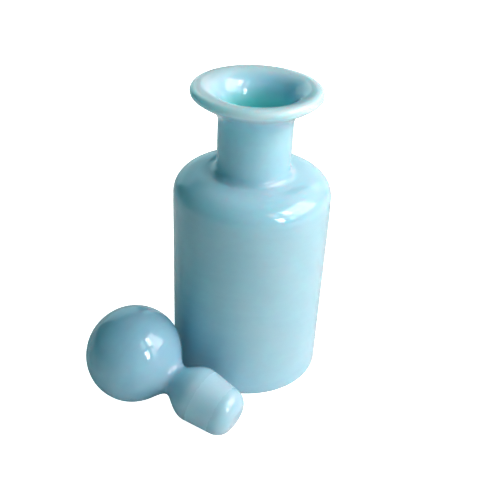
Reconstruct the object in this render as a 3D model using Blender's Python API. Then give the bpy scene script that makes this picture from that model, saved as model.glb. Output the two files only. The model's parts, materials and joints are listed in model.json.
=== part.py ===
"""A pressed and blown opaline glass scent bottle, with its loose ball stopper lying in front of it.

Metres, +Z up. The origin is the middle of the bottle's flat base, on the surface that the bottle
stands on and the stopper lies on. -Y is the front. Both pieces are turned shapes: each is an outline
of (radius, height) points spun round its own axis.
"""

import math

import bmesh
import bpy
from mathutils import Matrix

MM = 0.001

# Bottle, outside
BASE_RADIUS = 31.2 * MM
HEEL_ROUND = 2.5 * MM
BODY_TOP_RADIUS = 32.0 * MM      # the sides lean out a little from base to shoulder
BODY_TOP = 79.7 * MM             # where the straight side ends and the shoulder begins
SHOULDER_IN = 14.1 * MM
SHOULDER_RISE = 10.5 * MM
SHOULDER_POWER = 2.4             # 2 would be a plain ellipse, more is squarer
NECK_RADIUS = 14.75 * MM
NECK_FILLET_RISE = 3.8 * MM
NECK_TOP = 111.7 * MM            # where the neck starts to flare
FLARE_STIFFNESS = 5.5 * MM       # how far the flare runs straight at each end before it bends
FLARE_SLOPE = 40.0               # degrees above level, where the flare meets the rim
RIM_RADIUS = 25.6 * MM
RIM_ROUND = 1.95 * MM
LIP_HEIGHT = 125.7 * MM

# Bottle, inside
WALL = 3.3 * MM
FLOOR = 6.0 * MM
CAVITY_CORNER = 8.0 * MM
CAVITY_SHOULDER_INNER = 16.0 * MM
SEAT_TOP = 112.5 * MM            # the ground seat that the plug fits
SEAT_BOTTOM = 96.0 * MM
SEAT_GAP = 0.15 * MM
SEAT_STAND_OFF = 0.8 * MM        # how far below the seat's top the plug's widest ring stops
LIP_PULL = 0.71                  # share of the lip's radius that the funnel's top stays level to
THROAT_PULL = 1.08               # the funnel runs into the seat from this share of its radius
THROAT_PULL_RISE = 8.5 * MM      # and from this far above it
BORE_PULL = 6.5 * MM             # how far the bore runs straight on below the seat
CLOSING_PULL = 0.8               # share of the closing radius that the cavity's roof stays level to

# Stopper, measured along its axis from the middle of the ball towards the plug
BALL_RADIUS = 19.9 * MM
BALL_HALF_LENGTH = 19.2 * MM     # the ball is a little flat along the stopper's axis
BALL_LEAVES = 41.0               # degrees off the axis, where the ball flows into the waist
WAIST_RADIUS = 6.7 * MM
WAIST_AT = 21.2 * MM
BALL_PULL = 0.43                 # share of the way to the waist that the ball's slope runs on
WAIST_PULL = 0.344               # share of that way that the waist runs straight
PLUG_RADIUS = 11.76 * MM
PLUG_AT = 30.3 * MM
PLUG_END_RADIUS = 10.1 * MM
PLUG_END = 50.6 * MM
PLUG_END_ROUND = 6.5 * MM

# Where the stopper lies
BALL_X = -44.8 * MM
BALL_Y = -31.0 * MM
STOPPER_HEADING = -29.2          # degrees from +X to the way the plug points, seen from above
LIE_ROUNDS = 20                  # rounds of working out its height and tip, which settle in a few

# Facets
BOTTLE_SIDES = 60
STOPPER_SIDES = 48
SHARP_ANGLE = 50.0               # degrees between faces, from which an edge is shown sharp
WELD_DISTANCE = 0.01 * MM

BOTTLE_COLOUR = (0.46, 0.72, 0.76, 1.0)
STOPPER_COLOUR = (0.36, 0.63, 0.70, 1.0)
POLISHED_ROUGHNESS = 0.12


def arc(middle, radii, start, end, steps):
    """Points on an elliptical arc, both ends included; angles in degrees from the radius direction."""
    points = []
    for step in range(steps + 1):
        angle = math.radians(start + (end - start) * step / steps)
        points.append((middle[0] + radii[0] * math.cos(angle), middle[1] + radii[1] * math.sin(angle)))
    return points


def squared_quarter(middle, radii, power, steps):
    """A quarter of a superellipse, from its side up to its top, both ends included."""
    points = []
    for step in range(steps + 1):
        angle = math.radians(90.0 * step / steps)
        across = max(math.cos(angle), 0.0) ** (2.0 / power)
        up = math.sin(angle) ** (2.0 / power)
        points.append((middle[0] + radii[0] * across, middle[1] + radii[1] * up))
    return points


def bezier(start, pull_start, pull_end, end, steps):
    """Points on a cubic curve, without its first point."""
    points = []
    for step in range(1, steps + 1):
        t = step / steps
        weights = ((1 - t) ** 3, 3 * t * (1 - t) ** 2, 3 * t * t * (1 - t), t ** 3)
        corners = (start, pull_start, pull_end, end)
        points.append(tuple(sum(w * c[axis] for w, c in zip(weights, corners)) for axis in (0, 1)))
    return points


def plug_slope():
    """How much the plug's radius falls for each metre along its axis."""
    return (PLUG_RADIUS - PLUG_END_RADIUS) / (PLUG_END - PLUG_END_ROUND - PLUG_AT)


def bottle_outside():
    """From the middle of the base, up the outside and over the rim to the top of the lip."""
    shoulder_foot = BODY_TOP_RADIUS - SHOULDER_IN
    shoulder_top = BODY_TOP + SHOULDER_RISE
    slope = math.radians(FLARE_SLOPE)
    rim_middle = (RIM_RADIUS - RIM_ROUND, LIP_HEIGHT - RIM_ROUND)
    rim_foot = (
        rim_middle[0] + RIM_ROUND * math.sin(slope),
        rim_middle[1] - RIM_ROUND * math.cos(slope),
    )
    flare_pull = (
        rim_foot[0] - FLARE_STIFFNESS * math.cos(slope),
        rim_foot[1] - FLARE_STIFFNESS * math.sin(slope),
    )
    points = [(0.0, 0.0)]
    points += arc((BASE_RADIUS - HEEL_ROUND, HEEL_ROUND), (HEEL_ROUND, HEEL_ROUND), -90.0, 0.0, 4)
    points += squared_quarter(
        (shoulder_foot, BODY_TOP), (SHOULDER_IN, SHOULDER_RISE), SHOULDER_POWER, 9
    )
    fillet = (shoulder_foot - NECK_RADIUS, NECK_FILLET_RISE)
    points += arc((shoulder_foot, shoulder_top + NECK_FILLET_RISE), fillet, -90.0, -180.0, 4)[1:]
    neck_top = (NECK_RADIUS, NECK_TOP)
    points.append(neck_top)
    points += bezier(neck_top, (NECK_RADIUS, NECK_TOP + FLARE_STIFFNESS), flare_pull, rim_foot, 6)
    points += arc(rim_middle, (RIM_ROUND, RIM_ROUND), FLARE_SLOPE - 90.0, 90.0, 6)[1:]
    return points


def bottle_inside():
    """From the top of the lip down the funnel, the ground seat and the wall to the cavity's floor."""
    lip_top = (RIM_RADIUS - RIM_ROUND, LIP_HEIGHT)
    seat_top = (PLUG_RADIUS + SEAT_GAP + plug_slope() * SEAT_STAND_OFF, SEAT_TOP)
    seat_bottom = (seat_top[0] - plug_slope() * (SEAT_TOP - SEAT_BOTTOM), SEAT_BOTTOM)
    funnel_pulls = (
        (LIP_PULL * lip_top[0], LIP_HEIGHT),
        (THROAT_PULL * seat_top[0], SEAT_TOP + THROAT_PULL_RISE),
    )
    points = bezier(lip_top, *funnel_pulls, seat_top, 9)
    points.append(seat_bottom)
    shoulder_top = (CAVITY_SHOULDER_INNER, BODY_TOP + SHOULDER_RISE - WALL)
    below_seat = (seat_bottom[0], seat_bottom[1] - BORE_PULL)
    roof_pull = (CLOSING_PULL * shoulder_top[0], shoulder_top[1])
    points += bezier(seat_bottom, below_seat, roof_pull, shoulder_top, 4)
    cavity_radius = BODY_TOP_RADIUS - WALL
    shoulder = squared_quarter(
        (shoulder_top[0], BODY_TOP - WALL),
        (cavity_radius - shoulder_top[0], SHOULDER_RISE),
        SHOULDER_POWER,
        7,
    )
    points += shoulder[::-1][1:]
    corner_middle = (BASE_RADIUS - WALL - CAVITY_CORNER, FLOOR + CAVITY_CORNER)
    points += arc(corner_middle, (CAVITY_CORNER, CAVITY_CORNER), 0.0, -90.0, 5)
    points.append((0.0, FLOOR))
    return points


def stopper_outline():
    """From the ball's free pole, round the ball, through the waist and over the plug to its end."""
    points = arc((0.0, 0.0), (BALL_RADIUS, BALL_HALF_LENGTH), -90.0, 90.0 - BALL_LEAVES, 16)
    points[0] = (0.0, -BALL_HALF_LENGTH)
    leave = points[-1]
    before = points[-2]
    run = math.dist(leave, before)
    heading = ((leave[0] - before[0]) / run, (leave[1] - before[1]) / run)
    gap = WAIST_AT - leave[1]
    reach = BALL_PULL * gap
    leave_pull = (leave[0] + heading[0] * reach, leave[1] + heading[1] * reach)
    waist = (WAIST_RADIUS, WAIST_AT)
    points += bezier(leave, leave_pull, (WAIST_RADIUS, WAIST_AT - WAIST_PULL * gap), waist, 4)
    crown = (PLUG_RADIUS, PLUG_AT)
    rise = (PLUG_AT - WAIST_AT) / 3.0
    points += bezier(waist, (WAIST_RADIUS, WAIST_AT + rise), (PLUG_RADIUS, PLUG_AT - rise), crown, 7)
    lean = math.degrees(math.atan(plug_slope()))
    end_middle = (PLUG_END_RADIUS - PLUG_END_ROUND, PLUG_END - PLUG_END_ROUND)
    points += arc(end_middle, (PLUG_END_ROUND, PLUG_END_ROUND), lean, 90.0, 6)
    points.append((0.0, PLUG_END))
    return points


def stopper_lie():
    """How the stopper lies: the ball's height, and how far its axis tips down, in radians.

    The ball and the round of the plug's end both touch the surface, so the two heights that
    each would ask of the ball's middle have to agree.
    """
    end_across = PLUG_END_RADIUS - PLUG_END_ROUND
    end_along = PLUG_END - PLUG_END_ROUND
    reach = math.hypot(end_across, end_along)
    lead = math.atan2(end_along, end_across)
    height, tip = BALL_RADIUS, 0.0
    for _ in range(LIE_ROUNDS):
        tip = lead - math.acos((height - PLUG_END_ROUND) / reach)
        height = math.hypot(BALL_RADIUS * math.cos(tip), BALL_HALF_LENGTH * math.sin(tip))
    return height, tip


def turned(name, outline, sides, material):
    """Spin an outline round Z into one closed, smooth-shaded object."""
    mesh = bpy.data.meshes.new(name)
    shape = bmesh.new()
    corners = [shape.verts.new((radius, 0.0, height)) for radius, height in outline]
    edges = [shape.edges.new(pair) for pair in zip(corners, corners[1:])]
    bmesh.ops.spin(
        shape,
        geom=corners + edges,
        cent=(0.0, 0.0, 0.0),
        axis=(0.0, 0.0, 1.0),
        angle=2.0 * math.pi,
        steps=sides,
        use_merge=True,
    )
    bmesh.ops.remove_doubles(shape, verts=shape.verts[:], dist=WELD_DISTANCE)
    bmesh.ops.recalc_face_normals(shape, faces=shape.faces[:])
    shape.to_mesh(mesh)
    shape.free()
    mesh.shade_smooth()
    mesh.set_sharp_from_angle(angle=math.radians(SHARP_ANGLE))
    mesh.materials.append(material)
    piece = bpy.data.objects.new(name, mesh)
    bpy.context.scene.collection.objects.link(piece)
    return piece


def glass(name, colour):
    """Opaque opaline glass: a polished, coloured, milky body."""
    material = bpy.data.materials.new(name)
    material.use_nodes = True
    shader = material.node_tree.nodes["Principled BSDF"]
    shader.inputs["Base Color"].default_value = colour
    shader.inputs["Roughness"].default_value = POLISHED_ROUGHNESS
    shader.inputs["Metallic"].default_value = 0.0
    return material


def lay_down(stopper):
    """Lay the stopper beside the bottle, hung on an empty that stands on its rolling axis.

    Ball and plug roll like the two ends of a cone whose point is where the stopper's own axis
    meets the surface, so the whole piece swings round the upright line through that point.
    """
    height, tip = stopper_lie()
    heading = math.radians(STOPPER_HEADING)
    to_point = height / math.tan(tip)
    pivot = bpy.data.objects.new("stopper_roll_axis", None)
    bpy.context.scene.collection.objects.link(pivot)
    pivot.location = (
        BALL_X + to_point * math.cos(heading),
        BALL_Y + to_point * math.sin(heading),
        0.0,
    )
    stopper.parent = pivot
    lie = Matrix.Rotation(heading, 4, "Z") @ Matrix.Rotation(math.pi / 2.0 + tip, 4, "Y")
    from_pivot = (BALL_X - pivot.location.x, BALL_Y - pivot.location.y, height)
    stopper.matrix_local = Matrix.Translation(from_pivot) @ lie


def main():
    for old in list(bpy.data.objects):
        bpy.data.objects.remove(old, do_unlink=True)
    bottle_glass = glass("bottle_glass", BOTTLE_COLOUR)
    stopper_glass = glass("stopper_glass", STOPPER_COLOUR)
    turned("bottle", bottle_outside() + bottle_inside(), BOTTLE_SIDES, bottle_glass)
    lay_down(turned("stopper", stopper_outline(), STOPPER_SIDES, stopper_glass))


main()
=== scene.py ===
"""An opaline glass scent bottle and the ball stopper that lies in front of it, with their finishes.

Both pieces are turned shapes: an outline of (radius, height) points is spun round the piece's own
axis and then made a little uneven, as hand-finished glass is. They stand for the plainer solids of
the frame and keep their sizes. Metres, +Z up; -Y is the front.
"""

import json
import math

import bmesh
import bpy
from mathutils import Matrix, Quaternion, Vector, noise


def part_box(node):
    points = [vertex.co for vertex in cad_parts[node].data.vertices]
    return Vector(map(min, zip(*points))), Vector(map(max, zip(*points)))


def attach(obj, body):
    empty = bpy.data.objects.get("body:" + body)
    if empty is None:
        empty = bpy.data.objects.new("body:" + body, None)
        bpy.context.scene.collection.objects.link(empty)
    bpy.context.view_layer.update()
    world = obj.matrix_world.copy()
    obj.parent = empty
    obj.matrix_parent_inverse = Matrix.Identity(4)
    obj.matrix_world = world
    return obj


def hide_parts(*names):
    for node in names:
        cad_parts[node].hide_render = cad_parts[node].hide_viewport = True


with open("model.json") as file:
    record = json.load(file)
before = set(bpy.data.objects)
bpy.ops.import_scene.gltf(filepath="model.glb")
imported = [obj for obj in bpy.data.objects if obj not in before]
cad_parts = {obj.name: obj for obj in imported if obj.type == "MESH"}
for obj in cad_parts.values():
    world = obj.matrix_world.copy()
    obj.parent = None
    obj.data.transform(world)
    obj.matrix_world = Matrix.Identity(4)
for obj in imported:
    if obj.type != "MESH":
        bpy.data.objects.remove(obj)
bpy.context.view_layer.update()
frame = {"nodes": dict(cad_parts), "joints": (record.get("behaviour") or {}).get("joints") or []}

bl_info = {
    "name": "Opaline Scent Bottle",
    "version": (1, 0, 0),
    "blender": (4, 5, 0),
    "location": "View3D > Sidebar > Scent Bottle",
    "description": "Blows the bottle, turns its ball stopper and sets up a pale studio",
    "category": "Object",
}

MM = 0.001
BOTTLE_LOW, BOTTLE_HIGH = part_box("bottle")
ROLLING_POINT = Vector(frame["joints"][0]["pos_m"])

# Reach of the handles of the smooth curves: shares of a radius, rise or run, or plain lengths
LIP_PULL = 0.71
THROAT_PULL = 1.08
THROAT_PULL_RISE = 8.5 * MM
BORE_PULL = 6.5 * MM
CLOSING_PULL = 0.8
BALL_PULL = 0.43
WAIST_PULL = 0.8
WAIST_LEAVES = 0.24
CROWN_PULL = 0.5

# Meshes: sides of the turned shapes, what counts as one point, and how the glass strays from round
BOTTLE_SIDES = 192
STOPPER_SIDES = 160
MERGE_DISTANCE = 0.002 * MM
BOTTLE_DRIFT = 26.0 * MM
STOPPER_DRIFT = 14.0 * MM
DRIFT_STRETCH = 0.6
DRIFT_SHARE, OVAL_SHARE = 0.7, 0.3
LIP_WAVES = ((2.0, 0.6, 0.9), (3.0, 0.4, -0.5))  # waves round the lip, share, lead

# Drifts and veils in the opal: sizes against each other, shares, and where milk takes over
CLOUD_SHARE, VEIL_SHARE = 0.65, 0.35
VEIL_FINENESS = 3.0
VEIL_STRETCH = (0.35, 0.35, 2.2)
MILK_STARTS, MILK_FULL = 0.34, 0.66

# Polished faces: waves, turning rings and finger marks, per metre
WAVE_SCALE, RING_SCALE, MARK_SCALE = 70.0, 900.0, 160.0
RING_STRETCH = (0.05, 0.05, 1.0)
RING_SHARE = 0.16
MARK_STARTS, MARK_FULL = 0.48, 0.80
MARK_ROUGHNESS = 0.03
WAVE_DEPTH, WAVE_STRENGTH = 0.10 * MM, 0.5

# Ground faces: ragged edge, grain and scratches, per metre
EDGE_SCALE, GRAIN_SCALE, SCRATCH_SCALE = 500.0, 4200.0, 3000.0
EDGE_RAGGED = 1.2 * MM
SCRATCH_STRETCH = (0.08, 0.08, 1.0)
GRAIN_DEPTH, GRAIN_STRENGTH = 0.02 * MM, 0.4

# The glass itself, and how strongly each zone takes its tint: the throat's tint is painted shade,
# the lip's partly pale glass and partly painted sheen
GLASS_IOR, HAZE_IOR = 1.6, 1.5
GLOW_REACH = (0.25, 1.0, 0.9)
GROUND_TINT, LIP_PALE_AND_PAINTED_SHEEN, THROAT_PAINTED_SHADE, PLUG_TINT = 0.05, 0.6, 0.7, 0.26

# The floor: how white it is, and what it adds for the eye alone
FLOOR_WHITE = 0.8
FLOOR_ROUGHNESS = 0.9
FLOOR_GLEAM = 0.75

# The window: its bearing from the glass, then each pane's side, height and watts
WINDOW_BEARING = (52.0, 35.0)
WINDOW_DISTANCE = 1.0
PANE_SIZE = (0.18, 0.38)
WINDOW_BAR = 0.12
WINDOW_PANES = {
    "upper_left": (-1, 1, 0.35),
    "upper_right": (1, 1, 1.15),
    "lower_left": (-1, -1, 1.9),
    "lower_right": (1, -1, 0.5),
}

# Soft panels: azimuth from the front round to the right, elevation, side, watts and tint
PANEL_DISTANCE = 1.2
SOFT_PANELS = {
    "right_wall": (90.0, 38.0, 0.80, 6.6, (1.0, 0.80, 0.76)),
    "back_right_wall": (135.0, 42.0, 0.75, 1.2, (1.0, 0.92, 0.87)),
    "left": (285.0, 30.0, 0.75, 0.3, (0.40, 0.97, 1.0)),
    "back_left": (206.0, 16.0, 0.80, 1.3, (0.80, 0.97, 1.0)),
    "back": (158.0, 16.0, 0.80, 1.3, (0.90, 0.97, 1.0)),
}


# ---------------------------------------------------------------- sizes and colours

def length(name, description, default):
    """A size of one piece, in metres."""
    return bpy.props.FloatProperty(
        name=name, description=description, default=default, min=0.0, precision=5,
        subtype="DISTANCE", unit="LENGTH",
    )


def slope(name, description, default):
    """An angle, given in degrees and kept in radians."""
    return bpy.props.FloatProperty(
        name=name, description=description, default=math.radians(default), subtype="ANGLE",
        unit="ROTATION",
    )


def number(name, description, default, high=1000.0):
    """A plain number from nought upwards."""
    return bpy.props.FloatProperty(
        name=name, description=description, default=default, min=0.0, max=high, precision=3,
    )


def colour(name, description, default):
    """A linear colour without alpha."""
    return bpy.props.FloatVectorProperty(
        name=name, description=description, default=default, min=0.0, max=1.0, size=3,
        subtype="COLOR",
    )


class BottleSizes(bpy.types.PropertyGroup):
    """Outside and inside of the bottle."""

    body_radius: length("Body radius", "Widest, just under the shoulder",
                        (BOTTLE_HIGH.x - BOTTLE_LOW.x) / 2.0)
    base_radius: length("Base radius", "At the top of the rounded heel", 31.2 * MM)
    heel_round: length("Heel round", "Radius between base and side", 2.5 * MM)
    body_top: length("Body top", "Height where the side ends and the shoulder begins", 79.7 * MM)
    shoulder_in: length("Shoulder depth", "How far the shoulder rounds inwards", 14.1 * MM)
    shoulder_rise: length("Shoulder rise", "How far the shoulder climbs", 10.5 * MM)
    shoulder_power: number("Shoulder squareness", "2 is an ellipse, more is squarer", 2.4)
    line_depth: length("Mould line depth", "Of the soft line between side and shoulder", 0.10 * MM)
    line_width: length("Mould line width", "Of the soft line between side and shoulder", 1.5 * MM)
    neck_radius: length("Neck radius", "Outside of the straight neck", 14.75 * MM)
    neck_fillet: length("Neck fillet", "Height of the round at the neck's foot", 3.8 * MM)
    neck_top: length("Neck top", "Height where the neck starts to flare", 111.7 * MM)
    flare_stiffness: length("Flare stiffness", "How far its ends run straight", 5.5 * MM)
    flare_slope: slope("Flare slope", "Above level, where the flare meets the rim", 40.0)
    rim_radius: length("Rim radius", "Outside of the lip", 25.6 * MM)
    rim_round: length("Rim round", "Radius of the lip's outer edge", 1.95 * MM)
    lip_height: length("Lip height", "Top of the lip above the base", BOTTLE_HIGH.z)
    wall: length("Wall", "Thickness of the body's wall", 3.3 * MM)
    floor: length("Floor", "Thickness of glass under the cavity", 6.0 * MM)
    cavity_corner: length("Cavity corner", "Round at the cavity's foot", 8.0 * MM)
    cavity_shoulder: length("Cavity shoulder", "Radius where the cavity closes in", 16.0 * MM)
    seat_top: length("Seat top", "Height where the ground seat begins", 112.5 * MM)
    seat_bottom: length("Seat bottom", "Height where the ground seat ends", 96.0 * MM)
    seat_top_radius: length("Seat top radius", "Bore at the seat's top", 12.006 * MM)
    seat_bottom_radius: length("Seat bottom radius", "Bore at the seat's foot", 10.02 * MM)
    unevenness: length("Unevenness", "How far the wall strays from round", 0.16 * MM)
    lip_waviness: length("Lip waviness", "How far the hand-tooled lip rises and falls", 0.22 * MM)


class StopperSizes(bpy.types.PropertyGroup):
    """The stopper, measured along its axis from the middle of the ball towards the plug."""

    ball_radius: length("Ball radius", "Across the stopper's axis", 19.9 * MM)
    ball_half_length: length("Ball half length", "Along the stopper's axis", 19.2 * MM)
    ball_leaves: slope("Ball leaves", "Off the axis, where the ball flows into the waist", 41.0)
    waist_radius: length("Waist radius", "Thinnest between ball and plug", 6.7 * MM)
    waist_at: length("Waist place", "Where the waist is thinnest", 21.2 * MM)
    plug_radius: length("Plug radius", "Widest ring of the plug", 11.76 * MM)
    plug_at: length("Plug place", "Where the plug is widest", 30.3 * MM)
    crown_ease: length("Crown ease", "How far the rounded crown runs on into the taper", 3.0 * MM)
    plug_end_radius: length("Plug end radius", "Where the taper ends", 10.1 * MM)
    plug_end: length("Plug end", "Tip of the plug", 50.6 * MM)
    plug_end_round: length("Plug end round", "Radius of the fire-polished tip", 6.5 * MM)
    unevenness: length("Unevenness", "How far the glass strays from round", 0.09 * MM)


class GlassFinish(bpy.types.PropertyGroup):
    """Colour and gloss of the opaline glass."""

    bottle_milky: colour("Bottle milky", "Where the opal is thick and white", (0.53, 0.75, 0.86))
    bottle_deep: colour("Bottle deep", "Where the colour shows through", (0.50, 0.725, 0.84))
    stopper_milky: colour("Stopper milky", "Where the opal is thick and white", (0.46, 0.68, 0.80))
    stopper_deep: colour("Stopper deep", "Where the colour shows through", (0.43, 0.65, 0.78))
    # Pale glass for the ground faces and the plug; on the lip it is partly thinner, paler glass and
    # partly a painted pale sheen where the lip catches the light.
    pale_glass_and_sheen: colour("Pale glass", "Where it is ground, or thin as at the lip", (0.84, 0.88, 0.91))
    # Painted shade: a deeper teal laid inside the mouth and bore, where the inside of the bottle
    # lies in shade.
    throat_painted_shade: colour("Throat", "Down in the mouth, lit through the glass", (0.25, 0.72, 0.70))
    cloud_size: length("Cloud size", "Size of the drifts in the opal", 22.0 * MM)
    glow_depth: length("Glow depth", "How far light wanders inside the glass", 5.0 * MM)
    gloss_roughness: number("Gloss roughness", "Of the fire-polished faces", 0.03, 1.0)
    ground_roughness: number("Ground roughness", "Of the ground faces", 0.42, 1.0)
    haze: number("Haze", "Strength of the broad white bloom on the milky glass", 0.4, 1.0)
    haze_roughness: number("Haze roughness", "How broad that bloom is", 0.45, 1.0)


class Studio(bpy.types.PropertyGroup):
    """Floor, lights and camera."""

    floor_size: length("Floor size", "Side of the square floor", 6.0)
    aim_x: bpy.props.FloatProperty(
        name="Aim x", description="Sideways place of the point that the camera looks at",
        default=0.306 * MM, precision=5, subtype="DISTANCE", unit="LENGTH",
    )
    aim_height: length("Aim height", "Height of the point that the camera looks at", 53.23 * MM)
    camera_distance: length("Camera distance", "From that point", 360.0 * MM)
    camera_tilt: slope("Camera tilt", "How far above level the camera stands", 31.4)
    camera_roll: slope("Camera roll", "How far the camera leans to its left", 2.98)
    lens: bpy.props.FloatProperty(
        name="Lens", description="Focal length on a 36 mm sensor", default=61.61,
        subtype="DISTANCE_CAMERA",
    )
    window_light: number("Window light", "Strength of the paned window", 1.0)
    soft_light: number("Soft light", "Strength of the soft panels", 1.0)
    room_light: number("Room light", "Strength of the light from all round", 0.13)
    room_tint: colour("Room tint", "Colour of the light from all round", (0.40, 0.98, 1.0))


SETTINGS = (
    ("scent_bottle", BottleSizes),
    ("scent_stopper", StopperSizes),
    ("scent_glass", GlassFinish),
    ("scent_studio", Studio),
)


# ---------------------------------------------------------------- outlines

def straight(start, end, steps):
    """Points on a straight run, without its first point."""
    first, last = Vector(start), Vector(end)
    return [tuple(first.lerp(last, step / steps)) for step in range(1, steps + 1)]


def arc(middle, radii, start, end, steps):
    """Points on an elliptical arc, both ends included; angles in degrees from level."""
    points = []
    for step in range(steps + 1):
        angle = math.radians(start + (end - start) * step / steps)
        across, up = radii[0] * math.cos(angle), radii[1] * math.sin(angle)
        points.append((middle[0] + across, middle[1] + up))
    return points


def squared_quarter(middle, radii, power, steps):
    """A quarter of a superellipse, from its side up to its top, both ends included."""
    points = []
    for step in range(steps + 1):
        angle = math.radians(90.0 * step / steps)
        across = max(math.cos(angle), 0.0) ** (2.0 / power)
        up = math.sin(angle) ** (2.0 / power)
        points.append((middle[0] + radii[0] * across, middle[1] + radii[1] * up))
    return points


def bezier(start, pull_start, pull_end, end, steps):
    """Points on a cubic curve, without its first point."""
    points = []
    for step in range(1, steps + 1):
        t = step / steps
        weights = ((1 - t) ** 3, 3 * t * (1 - t) ** 2, 3 * t * t * (1 - t), t ** 3)
        corners = (start, pull_start, pull_end, end)
        points.append(tuple(sum(w * c[axis] for w, c in zip(weights, corners)) for axis in (0, 1)))
    return points


def mould_line(size, height):
    """Depth of the soft line between side and shoulder at a height."""
    return size.line_depth * math.exp(-((height - size.body_top) / size.line_width) ** 2)


def bottle_outside(size):
    """From the middle of the base, up the outside and over the rim to the top of the lip."""
    shoulder_foot = size.body_radius - size.shoulder_in
    shoulder_top = size.body_top + size.shoulder_rise
    lean = size.flare_slope
    rim_middle = (size.rim_radius - size.rim_round, size.lip_height - size.rim_round)
    rim_foot = (
        rim_middle[0] + size.rim_round * math.sin(lean),
        rim_middle[1] - size.rim_round * math.cos(lean),
    )
    flare_pull = (
        rim_foot[0] - size.flare_stiffness * math.cos(lean),
        rim_foot[1] - size.flare_stiffness * math.sin(lean),
    )
    heel = (size.heel_round, size.heel_round)
    points = [(0.0, 0.0)]
    points += straight((0.0, 0.0), (size.base_radius - size.heel_round, 0.0), 6)
    points += arc((size.base_radius - size.heel_round, size.heel_round), heel, -90.0, 0.0, 8)[1:]
    points += straight(points[-1], (size.body_radius, size.body_top), 60)
    points += squared_quarter(
        (shoulder_foot, size.body_top), (size.shoulder_in, size.shoulder_rise),
        size.shoulder_power, 36,
    )[1:]
    points = [
        (radius - mould_line(size, height) if radius > shoulder_foot else radius, height)
        for radius, height in points
    ]
    fillet = (shoulder_foot - size.neck_radius, size.neck_fillet)
    points += arc((shoulder_foot, shoulder_top + size.neck_fillet), fillet, -90.0, -180.0, 8)[1:]
    neck_top = (size.neck_radius, size.neck_top)
    points += straight(points[-1], neck_top, 8)
    pull = (size.neck_radius, size.neck_top + size.flare_stiffness)
    points += bezier(neck_top, pull, flare_pull, rim_foot, 14)
    points += arc(
        rim_middle, (size.rim_round, size.rim_round), math.degrees(lean) - 90.0, 90.0, 14
    )[1:]
    return points


def bottle_inside(size):
    """From the top of the lip down the funnel, the ground seat and the wall to the floor."""
    lip_top = (size.rim_radius - size.rim_round, size.lip_height)
    seat_top = (size.seat_top_radius, size.seat_top)
    seat_bottom = (size.seat_bottom_radius, size.seat_bottom)
    throat_pull = (THROAT_PULL * seat_top[0], seat_top[1] + THROAT_PULL_RISE)
    points = bezier(lip_top, (LIP_PULL * lip_top[0], size.lip_height), throat_pull, seat_top, 24)
    points += straight(seat_top, seat_bottom, 10)
    closing = (size.cavity_shoulder, size.body_top + size.shoulder_rise - size.wall)
    bore_pull = (seat_bottom[0], seat_bottom[1] - BORE_PULL)
    points += bezier(seat_bottom, bore_pull, (CLOSING_PULL * closing[0], closing[1]), closing, 8)
    cavity_radius = size.body_radius - size.wall
    shoulder = squared_quarter(
        (closing[0], size.body_top - size.wall), (cavity_radius - closing[0], size.shoulder_rise),
        size.shoulder_power, 14,
    )
    points += shoulder[::-1][1:]
    corner = (size.base_radius - size.wall - size.cavity_corner, size.floor + size.cavity_corner)
    foot = arc(corner, (size.cavity_corner, size.cavity_corner), 0.0, -90.0, 10)
    points += straight(points[-1], foot[0], 16)
    points += foot[1:]
    points += straight(points[-1], (0.0, size.floor), 5)
    return points


def stopper_outline(size):
    """From the ball's free pole, round the ball, through the waist and over the plug to its end."""
    leaves = math.degrees(size.ball_leaves)
    points = arc((0.0, 0.0), (size.ball_radius, size.ball_half_length), -90.0, 90.0 - leaves, 48)
    points[0] = (0.0, -size.ball_half_length)
    heading = (Vector(points[-1]) - Vector(points[-2])).normalized()
    leave = Vector(points[-1])
    reach = BALL_PULL * (size.waist_at - leave.y)
    waist = (size.waist_radius, size.waist_at)
    pulls = (tuple(leave + heading * reach), (waist[0], waist[1] - WAIST_PULL * reach))
    points += bezier(tuple(leave), *pulls, waist, 12)
    fall = (size.plug_radius - size.plug_end_radius) / (
        size.plug_end - size.plug_end_round - size.plug_at
    )
    crown = (size.plug_radius - fall * size.crown_ease, size.plug_at + size.crown_ease)
    rise = crown[1] - size.waist_at
    crown_pull = (crown[0] + fall * CROWN_PULL * rise, crown[1] - CROWN_PULL * rise)
    points += bezier(waist, (waist[0], waist[1] + WAIST_LEAVES * rise), crown_pull, crown, 24)
    end_middle = (size.plug_end_radius - size.plug_end_round, size.plug_end - size.plug_end_round)
    tip_round = (size.plug_end_round, size.plug_end_round)
    tip = arc(end_middle, tip_round, math.degrees(math.atan(fall)), 90.0, 14)
    points += straight(crown, tip[0], 12)
    points += tip[1:]
    points += straight(tip[-1], (0.0, size.plug_end), 3)
    return points


# ---------------------------------------------------------------- meshes

def turned(outline, sides):
    """Spin an outline round Z into one closed shell with its faces outwards."""
    shape = bmesh.new()
    corners = [shape.verts.new((radius, 0.0, height)) for radius, height in outline]
    edges = [shape.edges.new(pair) for pair in zip(corners, corners[1:])]
    bmesh.ops.spin(
        shape, geom=corners + edges, cent=(0.0, 0.0, 0.0), axis=(0.0, 0.0, 1.0),
        angle=2.0 * math.pi, steps=sides, use_merge=True,
    )
    bmesh.ops.remove_doubles(shape, verts=shape.verts[:], dist=MERGE_DISTANCE)
    bmesh.ops.recalc_face_normals(shape, faces=shape.faces[:])
    return shape


def stray(shape, amount, grain):
    """Let the wall stray from round, as glass does that was worked by hand."""
    for corner in shape.verts:
        radius = math.hypot(corner.co.x, corner.co.y)
        if radius > 0.0:
            place = Vector((corner.co.x, corner.co.y, DRIFT_STRETCH * corner.co.z))
            drift = noise.noise(place / grain)
            oval = math.cos(2.0 * math.atan2(corner.co.y, corner.co.x) + corner.co.z / grain)
            stray_by = amount * min(radius / grain, 1.0) * (DRIFT_SHARE * drift + OVAL_SHARE * oval)
            scale = 1.0 + stray_by / radius
            corner.co.x *= scale
            corner.co.y *= scale


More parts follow.
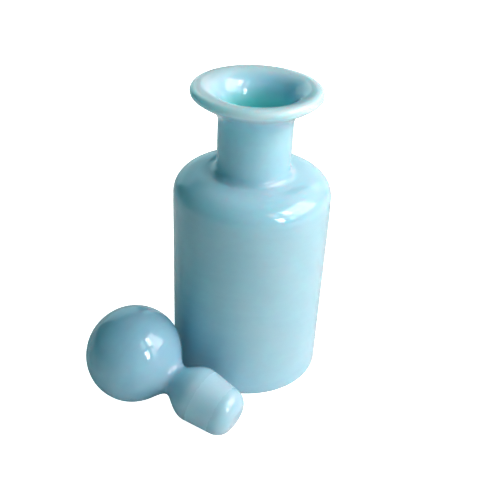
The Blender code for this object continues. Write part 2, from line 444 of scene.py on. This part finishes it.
def wave_lip(shape, size):
    """Let the tooled lip rise and fall a little round its edge."""
    for corner in shape.verts:
        out = math.hypot(corner.co.x, corner.co.y) - size.seat_top_radius
        if out > 0.0 and corner.co.z > size.neck_top:
            share = min(out / (size.rim_radius - size.seat_top_radius), 1.0) ** 2
            turn = math.atan2(corner.co.y, corner.co.x)
            wave = sum(part * math.cos(count * turn + lead) for count, part, lead in LIP_WAVES)
            corner.co.z += size.lip_waviness * share * (wave - 1.0) * 0.5


def finish_piece(shape, name, body, node, material):
    """Turn a finished shape into the piece that stands for a node of the frame."""
    mesh = bpy.data.meshes.new(name)
    shape.to_mesh(mesh)
    shape.free()
    mesh.shade_smooth()
    mesh.materials.append(material)
    piece = bpy.data.objects.new(name, mesh)
    bpy.context.scene.collection.objects.link(piece)
    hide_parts(node)
    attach(piece, body)


def stopper_lie(size):
    """Where the stopper lies: its ball at the origin, its axis towards the rolling point."""
    corners = [corner.co for corner in frame["nodes"]["stopper"].data.vertices]
    middle = sum(corners, Vector()) / len(corners)
    axis = (ROLLING_POINT - middle).normalized()
    pole = min((corner - ROLLING_POINT).dot(axis) for corner in corners)
    ball = ROLLING_POINT + axis * (pole + size.ball_half_length)
    return Matrix.Translation(ball) @ axis.to_track_quat("Z", "Y").to_matrix().to_4x4()


# ---------------------------------------------------------------- finishes

def new_group(name, inputs, outputs):
    """An empty shader node group with its sockets; each is (name, socket kind, default)."""
    group = bpy.data.node_groups.new(name, "ShaderNodeTree")
    for socket_name, kind, default in inputs:
        socket = group.interface.new_socket(name=socket_name, in_out="INPUT", socket_type=kind)
        if default is not None:
            socket.default_value = default
    for socket_name, kind in outputs:
        group.interface.new_socket(name=socket_name, in_out="OUTPUT", socket_type=kind)
    return group, group.nodes.new("NodeGroupInput"), group.nodes.new("NodeGroupOutput")


def put(tree, socket, value):
    """Give a socket a plain value, or link an output to it."""
    if isinstance(value, bpy.types.NodeSocket):
        tree.links.new(value, socket)
    else:
        socket.default_value = value


def math_node(tree, operation, first, second):
    """One sum on two numbers, each either a number or an output."""
    made = tree.nodes.new("ShaderNodeMath")
    made.operation = operation
    put(tree, made.inputs[0], first)
    put(tree, made.inputs[1], second)
    return made.outputs["Value"]


def step_up(tree, value, start, end):
    """A smooth step from 0 to 1 while value goes from start to end."""
    made = tree.nodes.new("ShaderNodeMapRange")
    made.interpolation_type = "SMOOTHSTEP"
    put(tree, made.inputs["Value"], value)
    put(tree, made.inputs["From Min"], start)
    put(tree, made.inputs["From Max"], end)
    return made.outputs["Result"]


def mix_colours(tree, share, first, second):
    """Mix two colours; each is a colour or an output."""
    made = tree.nodes.new("ShaderNodeMix")
    made.data_type = "RGBA"
    colours = [socket for socket in made.inputs if socket.type == "RGBA"]
    put(tree, made.inputs["Factor"], share)
    put(tree, colours[0], first)
    put(tree, colours[1], second)
    return next(socket for socket in made.outputs if socket.type == "RGBA")


def noise_field(tree, vector, scale, detail, distortion=0.0):
    """Soft noise from 0 to 1 in real metres."""
    made = tree.nodes.new("ShaderNodeTexNoise")
    put(tree, made.inputs["Vector"], vector)
    put(tree, made.inputs["Scale"], scale)
    made.inputs["Detail"].default_value = detail
    made.inputs["Distortion"].default_value = distortion
    return made.outputs["Fac"]


def stretched(tree, vector, scale):
    """The vector with its three parts scaled apart."""
    made = tree.nodes.new("ShaderNodeVectorMath")
    made.operation = "MULTIPLY"
    put(tree, made.inputs[0], vector)
    put(tree, made.inputs[1], scale)
    return made.outputs["Vector"]


def bump(tree, height, depth, strength, normal=None):
    """A bump of a depth in metres, laid over another normal if there is one."""
    made = tree.nodes.new("ShaderNodeBump")
    made.inputs["Distance"].default_value = depth
    made.inputs["Strength"].default_value = strength
    put(tree, made.inputs["Height"], height)
    if normal is not None:
        put(tree, made.inputs["Normal"], normal)
    return made.outputs["Normal"]


def opal_clouds():
    """Drifts and thin veils in the milky glass."""
    group, given, result = new_group(
        "Opal Clouds",
        (
            ("Vector", "NodeSocketVector", None),
            ("Milky", "NodeSocketColor", None),
            ("Deep", "NodeSocketColor", None),
            ("Cloud Scale", "NodeSocketFloat", 45.0),
        ),
        (("Colour", "NodeSocketColor"),),
    )
    vector, scale = given.outputs["Vector"], given.outputs["Cloud Scale"]
    drifts = noise_field(group, vector, scale, 3.0, 0.8)
    laid_round = stretched(group, vector, VEIL_STRETCH)
    veil_scale = math_node(group, "MULTIPLY", scale, VEIL_FINENESS)
    veils = noise_field(group, laid_round, veil_scale, 4.0, 0.4)
    both = math_node(
        group, "ADD", math_node(group, "MULTIPLY", drifts, CLOUD_SHARE),
        math_node(group, "MULTIPLY", veils, VEIL_SHARE),
    )
    share = step_up(group, both, MILK_STARTS, MILK_FULL)
    milk = mix_colours(group, share, given.outputs["Deep"], given.outputs["Milky"])
    put(group, result.inputs["Colour"], milk)
    return group


def fire_polish():
    """Slow waves and faint turning rings of a fire-polished face, with thin finger marks."""
    group, given, result = new_group(
        "Fire Polish",
        (("Vector", "NodeSocketVector", None), ("Roughness", "NodeSocketFloat", 0.03)),
        (("Height", "NodeSocketFloat"), ("Roughness", "NodeSocketFloat")),
    )
    vector = given.outputs["Vector"]
    waves = noise_field(group, vector, WAVE_SCALE, 1.0)
    rings = noise_field(group, stretched(group, vector, RING_STRETCH), RING_SCALE, 2.0)
    height = math_node(group, "ADD", waves, math_node(group, "MULTIPLY", rings, RING_SHARE))
    put(group, result.inputs["Height"], height)
    marks = noise_field(group, vector, MARK_SCALE, 5.0, 1.5)
    film = step_up(group, marks, MARK_STARTS, MARK_FULL)
    rougher = math_node(group, "MULTIPLY", film, MARK_ROUGHNESS)
    roughness = math_node(group, "ADD", given.outputs["Roughness"], rougher)
    put(group, result.inputs["Roughness"], roughness)
    return group


def turned_zone():
    """A mask between two heights and two radii of a turned piece, and a ground grain in it."""
    group, given, result = new_group(
        "Turned Zone",
        (
            ("Vector", "NodeSocketVector", None),
            ("Low", "NodeSocketFloat", 0.0),
            ("High", "NodeSocketFloat", 1.0),
            ("Inner", "NodeSocketFloat", 0.0),
            ("Outer", "NodeSocketFloat", 1.0),
            ("Soft", "NodeSocketFloat", 1.0 * MM),
        ),
        (("Mask", "NodeSocketFloat"), ("Height", "NodeSocketFloat")),
    )
    vector, soft = given.outputs["Vector"], given.outputs["Soft"]
    parts = group.nodes.new("ShaderNodeSeparateXYZ")
    put(group, parts.inputs["Vector"], vector)
    flat = group.nodes.new("ShaderNodeVectorMath")
    flat.operation = "LENGTH"
    put(group, flat.inputs[0], stretched(group, vector, (1.0, 1.0, 0.0)))
    radius = flat.outputs["Value"]
    uneven = math_node(group, "SUBTRACT", noise_field(group, vector, EDGE_SCALE, 3.0), 0.5)
    along = math_node(
        group, "ADD", parts.outputs["Z"], math_node(group, "MULTIPLY", uneven, EDGE_RAGGED)
    )
    minus_soft = math_node(group, "MULTIPLY", soft, -1.0)
    mask = 1.0
    for larger, smaller in (
        (along, given.outputs["Low"]), (given.outputs["High"], along),
        (radius, given.outputs["Inner"]), (given.outputs["Outer"], radius),
    ):
        share = step_up(group, math_node(group, "SUBTRACT", larger, smaller), minus_soft, soft)
        mask = math_node(group, "MULTIPLY", mask, share)
    put(group, result.inputs["Mask"], mask)
    grain = noise_field(group, vector, GRAIN_SCALE, 2.0)
    scratches = noise_field(group, stretched(group, vector, SCRATCH_STRETCH), SCRATCH_SCALE, 2.0)
    ground = math_node(group, "MULTIPLY", math_node(group, "ADD", grain, scratches), mask)
    put(group, result.inputs["Height"], ground)
    return group


def group_node(tree, group, **values):
    """Place a node group and set or link its inputs."""
    made = tree.nodes.new("ShaderNodeGroup")
    made.node_tree = group
    for name, value in values.items():
        put(tree, made.inputs[name.replace("_", " ")], value)
    return made


def opaline(name, lie, milky, deep, glass, ground_zone, tints_and_painted_light):
    """Milky glass laid out on the piece's own axis, with one ground zone and some tinted ones.

    Each tint is (colour, strength, zone); besides pale ground glass, some tints are painted light:
    shade down in the bottle's mouth and a pale sheen on its lip.
    """
    groups = finish_groups()
    material = bpy.data.materials.new(name)
    material.use_nodes = True
    tree = material.node_tree
    shader = tree.nodes["Principled BSDF"]
    place = tree.nodes.new("ShaderNodeTexCoord")
    own_axis = tree.nodes.new("ShaderNodeMapping")
    own_axis.vector_type = "POINT"
    turn = lie.inverted()
    own_axis.inputs["Location"].default_value = turn.to_translation()
    own_axis.inputs["Rotation"].default_value = turn.to_euler("XYZ")
    put(tree, own_axis.inputs["Vector"], place.outputs["Object"])
    vector = own_axis.outputs["Vector"]

    clouds = group_node(
        tree, groups["clouds"], Vector=vector, Milky=(*milky, 1.0), Deep=(*deep, 1.0),
        Cloud_Scale=1.0 / glass.cloud_size,
    )
    polish = group_node(tree, groups["polish"], Vector=vector, Roughness=glass.gloss_roughness)
    ground = group_node(tree, groups["zone"], Vector=vector, **ground_zone)
    mask = ground.outputs["Mask"]
    share = math_node(tree, "MULTIPLY", mask, GROUND_TINT)
    base = mix_colours(tree, share, clouds.outputs["Colour"], (*glass.pale_glass_and_sheen, 1.0))
    # Tints laid over the colour, the painted shade in the mouth and the painted sheen on the lip
    # among them.
    for tint, strength, zone in tints_and_painted_light:
        tinted = group_node(tree, groups["zone"], Vector=vector, **zone).outputs["Mask"]
        share = math_node(tree, "MULTIPLY", tinted, strength)
        base = mix_colours(tree, share, base, (*tint, 1.0))
    put(tree, shader.inputs["Base Color"], base)
    rougher = math_node(tree, "MULTIPLY", mask, glass.ground_roughness - glass.gloss_roughness)
    roughness = math_node(tree, "ADD", polish.outputs["Roughness"], rougher)
    put(tree, shader.inputs["Roughness"], roughness)
    waves = bump(tree, polish.outputs["Height"], WAVE_DEPTH, WAVE_STRENGTH)
    grain = bump(tree, ground.outputs["Height"], GRAIN_DEPTH, GRAIN_STRENGTH, waves)
    put(tree, shader.inputs["Normal"], grain)

    shader.inputs["IOR"].default_value = GLASS_IOR
    shader.inputs["Subsurface Weight"].default_value = 1.0
    shader.inputs["Subsurface Radius"].default_value = GLOW_REACH
    shader.inputs["Subsurface Scale"].default_value = glass.glow_depth
    shader.inputs["Coat Weight"].default_value = glass.haze
    shader.inputs["Coat Roughness"].default_value = glass.haze_roughness
    shader.inputs["Coat IOR"].default_value = HAZE_IOR
    return material


def finish_groups():
    """The node groups that both glasses share, built once."""
    makers = {
        "clouds": ("Opal Clouds", opal_clouds),
        "polish": ("Fire Polish", fire_polish),
        "zone": ("Turned Zone", turned_zone),
    }
    return {key: bpy.data.node_groups.get(name) or make() for key, (name, make) in makers.items()}


# ---------------------------------------------------------------- stage

def emitter(name, shape_size, place, facing, watts, tint=(1.0, 1.0, 1.0)):
    """A soft rectangular light at a place, facing along a direction."""
    data = bpy.data.lights.new(name, "AREA")
    data.shape = "RECTANGLE"
    data.size, data.size_y = shape_size
    data.energy = watts
    data.color = tint
    light = bpy.data.objects.new(name, data)
    light.rotation_mode = "QUATERNION"
    light.location = place
    light.rotation_quaternion = facing.to_track_quat("-Z", "Y")
    light.visible_camera = False
    bpy.context.scene.collection.objects.link(light)


def bearing(azimuth, elevation):
    """The direction to a light, in degrees; azimuth runs from the front round to the right."""
    turn, rise = math.radians(azimuth), math.radians(elevation)
    return Vector((
        math.sin(turn) * math.cos(rise), -math.cos(turn) * math.cos(rise), math.sin(rise)
    ))


def window(studio):
    """A window of four panes to the right of the viewer, with a bar across and a bar down."""
    aim = Vector((0.0, 0.0, studio.aim_height))
    towards = bearing(*WINDOW_BEARING)
    turn = (-towards).to_track_quat("-Z", "Y")
    for name, (across, up, watts) in WINDOW_PANES.items():
        offset = Vector((
            across * (PANE_SIZE[0] + WINDOW_BAR) / 2.0, up * (PANE_SIZE[1] + WINDOW_BAR) / 2.0, 0.0
        ))
        place = aim + towards * WINDOW_DISTANCE + turn @ offset
        emitter("window_" + name, PANE_SIZE, place, -towards, studio.window_light * watts)


def soft_lights(studio):
    """Large pale panels round the glass: warmer on the window's side, cooler in the shade."""
    aim = Vector((0.0, 0.0, studio.aim_height))
    for name, (azimuth, elevation, side, watts, tint) in SOFT_PANELS.items():
        towards = bearing(azimuth, elevation)
        place = aim + towards * PANEL_DISTANCE
        emitter(name, (side, side), place, -towards, studio.soft_light * watts, tint)


def pale_world(studio):
    """A white surround, dimmer for the light that it gives than for the eye."""
    world = bpy.data.worlds.new("pale_room")
    bpy.context.scene.world = world
    world.use_nodes = True
    tree = world.node_tree
    tree.nodes.clear()
    room = tree.nodes.new("ShaderNodeBackground")
    room.inputs["Color"].default_value = (*studio.room_tint, 1.0)
    room.inputs["Strength"].default_value = studio.room_light
    seen = tree.nodes.new("ShaderNodeBackground")
    seen.inputs["Color"].default_value = (1.0, 1.0, 1.0, 1.0)
    path = tree.nodes.new("ShaderNodeLightPath")
    mix = tree.nodes.new("ShaderNodeMixShader")
    out = tree.nodes.new("ShaderNodeOutputWorld")
    put(tree, mix.inputs[0], path.outputs["Is Camera Ray"])
    put(tree, mix.inputs[1], room.outputs["Background"])
    put(tree, mix.inputs[2], seen.outputs["Background"])
    put(tree, out.inputs["Surface"], mix.outputs["Shader"])


def pale_floor(studio):
    """A wide pale sheet that the glass stands on."""
    shape = bmesh.new()
    bmesh.ops.create_grid(shape, x_segments=1, y_segments=1, size=studio.floor_size / 2.0)
    mesh = bpy.data.meshes.new("floor")
    shape.to_mesh(mesh)
    shape.free()
    material = bpy.data.materials.new("pale_floor")
    material.use_nodes = True
    tree = material.node_tree
    shader = tree.nodes["Principled BSDF"]
    seen = tree.nodes.new("ShaderNodeLightPath").outputs["Is Camera Ray"]
    shader.inputs["Base Color"].default_value = (FLOOR_WHITE, FLOOR_WHITE, FLOOR_WHITE, 1.0)
    shader.inputs["Roughness"].default_value = FLOOR_ROUGHNESS
    shader.inputs["Specular IOR Level"].default_value = 0.0
    shader.inputs["Emission Color"].default_value = (1.0, 1.0, 1.0, 1.0)
    put(tree, shader.inputs["Emission Strength"], math_node(tree, "MULTIPLY", seen, FLOOR_GLEAM))
    mesh.materials.append(material)
    floor = bpy.data.objects.new("floor", mesh)
    bpy.context.scene.collection.objects.link(floor)


def aim_camera(studio):
    """The camera at the height, distance and lean from which the bottle is seen."""
    data = bpy.data.cameras.new("camera")
    data.lens = studio.lens
    data.sensor_width = 36.0
    data.clip_start = 0.01
    camera = bpy.data.objects.new("camera", data)
    bpy.context.scene.collection.objects.link(camera)
    aim = Vector((studio.aim_x, 0.0, studio.aim_height))
    back = Vector((0.0, -math.cos(studio.camera_tilt), math.sin(studio.camera_tilt)))
    camera.rotation_mode = "QUATERNION"
    camera.location = aim + back * studio.camera_distance
    lean = Quaternion((0.0, 0.0, 1.0), studio.camera_roll)
    camera.rotation_quaternion = (-back).to_track_quat("-Z", "Y") @ lean
    bpy.context.scene.camera = camera


# ---------------------------------------------------------------- operators

class SCENT_OT_bottle(bpy.types.Operator):
    """Blow the bottle with its flared lip, cavity and ground seat"""

    bl_idname = "scent.bottle"
    bl_label = "Blow Bottle"

    def execute(self, context):
        size, glass = context.scene.scent_bottle, context.scene.scent_glass
        shape = turned(bottle_outside(size) + bottle_inside(size), BOTTLE_SIDES)
        stray(shape, size.unevenness, BOTTLE_DRIFT)
        wave_lip(shape, size)
        ground = {
            "Low": size.seat_bottom, "High": size.seat_top, "Outer": size.neck_radius - 1.5 * MM,
        }
        # The lip's pale tint: partly its thinner, paler glass and partly a painted sheen where its
        # top and front catch the light.
        lip_pale_and_sheen = {
            "Low": size.neck_top + 6.0 * MM, "High": 2.0 * size.lip_height,
            "Inner": size.neck_radius + 4.0 * MM, "Soft": 3.5 * MM,
        }
        # Painted shade: the deeper teal down in the mouth and bore, where the inside lies in shade.
        throat_painted_shade = {
            "Low": size.floor, "High": size.seat_top + 8.0 * MM,
            "Outer": size.seat_top_radius + 1.5 * MM, "Soft": 2.0 * MM,
        }
        material = opaline(
            "bottle_opaline", Matrix.Identity(4), glass.bottle_milky, glass.bottle_deep, glass,
            ground, ((glass.pale_glass_and_sheen, LIP_PALE_AND_PAINTED_SHEEN, lip_pale_and_sheen), (glass.throat_painted_shade, THROAT_PAINTED_SHADE, throat_painted_shade)),
        )
        finish_piece(shape, "scent_bottle", "bottle", "bottle", material)
        return {"FINISHED"}


class SCENT_OT_stopper(bpy.types.Operator):
    """Turn the ball stopper with its ground plug and lay it down"""

    bl_idname = "scent.stopper"
    bl_label = "Turn Stopper"

    def execute(self, context):
        size, glass = context.scene.scent_stopper, context.scene.scent_glass
        shape = turned(stopper_outline(size), STOPPER_SIDES)
        stray(shape, size.unevenness, STOPPER_DRIFT)
        lie = stopper_lie(size)
        bmesh.ops.transform(shape, matrix=lie, verts=shape.verts[:])
        ground = {
            "Low": size.plug_at + size.crown_ease, "High": size.plug_end - size.plug_end_round,
            "Inner": size.waist_radius, "Soft": 3.0 * MM,
        }
        plug = {"Low": size.waist_at + 4.0 * MM, "High": 2.0 * size.plug_end, "Soft": 6.0 * MM}
        material = opaline(
            "stopper_opaline", lie, glass.stopper_milky, glass.stopper_deep, glass,
            ground, ((glass.pale_glass_and_sheen, PLUG_TINT, plug),),
        )
        finish_piece(shape, "ball_stopper", "stopper", "stopper", material)
        return {"FINISHED"}


class SCENT_OT_stage(bpy.types.Operator):
    """Lay the pale floor, hang the lights and place the camera"""

    bl_idname = "scent.stage"
    bl_label = "Set Stage"

    def execute(self, context):
        studio = context.scene.scent_studio
        pale_world(studio)
        pale_floor(studio)
        window(studio)
        soft_lights(studio)
        aim_camera(studio)
        context.scene.view_settings.view_transform = "Standard"
        context.scene.view_settings.look = "High Contrast"
        return {"FINISHED"}


class SCENT_PT_panel(bpy.types.Panel):
    """Sizes, colours and the buttons that build the bottle"""

    bl_idname = "SCENT_PT_panel"
    bl_label = "Scent Bottle"
    bl_space_type = "VIEW_3D"
    bl_region_type = "UI"
    bl_category = "Scent Bottle"

    def draw(self, context):
        for operator in (SCENT_OT_bottle, SCENT_OT_stopper, SCENT_OT_stage):
            self.layout.operator(operator.bl_idname)
        for name, kind in SETTINGS:
            box = self.layout.box()
            box.label(text=kind.__doc__)
            group = getattr(context.scene, name)
            for field in kind.__annotations__:
                box.prop(group, field)


CLASSES = (
    *(kind for _, kind in SETTINGS), SCENT_OT_bottle, SCENT_OT_stopper, SCENT_OT_stage,
    SCENT_PT_panel,
)


def register():
    """Make the settings, operators and panel known to Blender."""
    for kind in CLASSES:
        bpy.utils.register_class(kind)
    for name, kind in SETTINGS:
        setattr(bpy.types.Scene, name, bpy.props.PointerProperty(type=kind))


def unregister():
    """Take them away again."""
    for name, _ in SETTINGS:
        delattr(bpy.types.Scene, name)
    for kind in reversed(CLASSES):
        bpy.utils.unregister_class(kind)


def main():
    """Build both pieces and the stage."""
    register()
    bpy.ops.scent.bottle()
    bpy.ops.scent.stopper()
    bpy.ops.scent.stage()


if __name__ == "__main__":
    main()
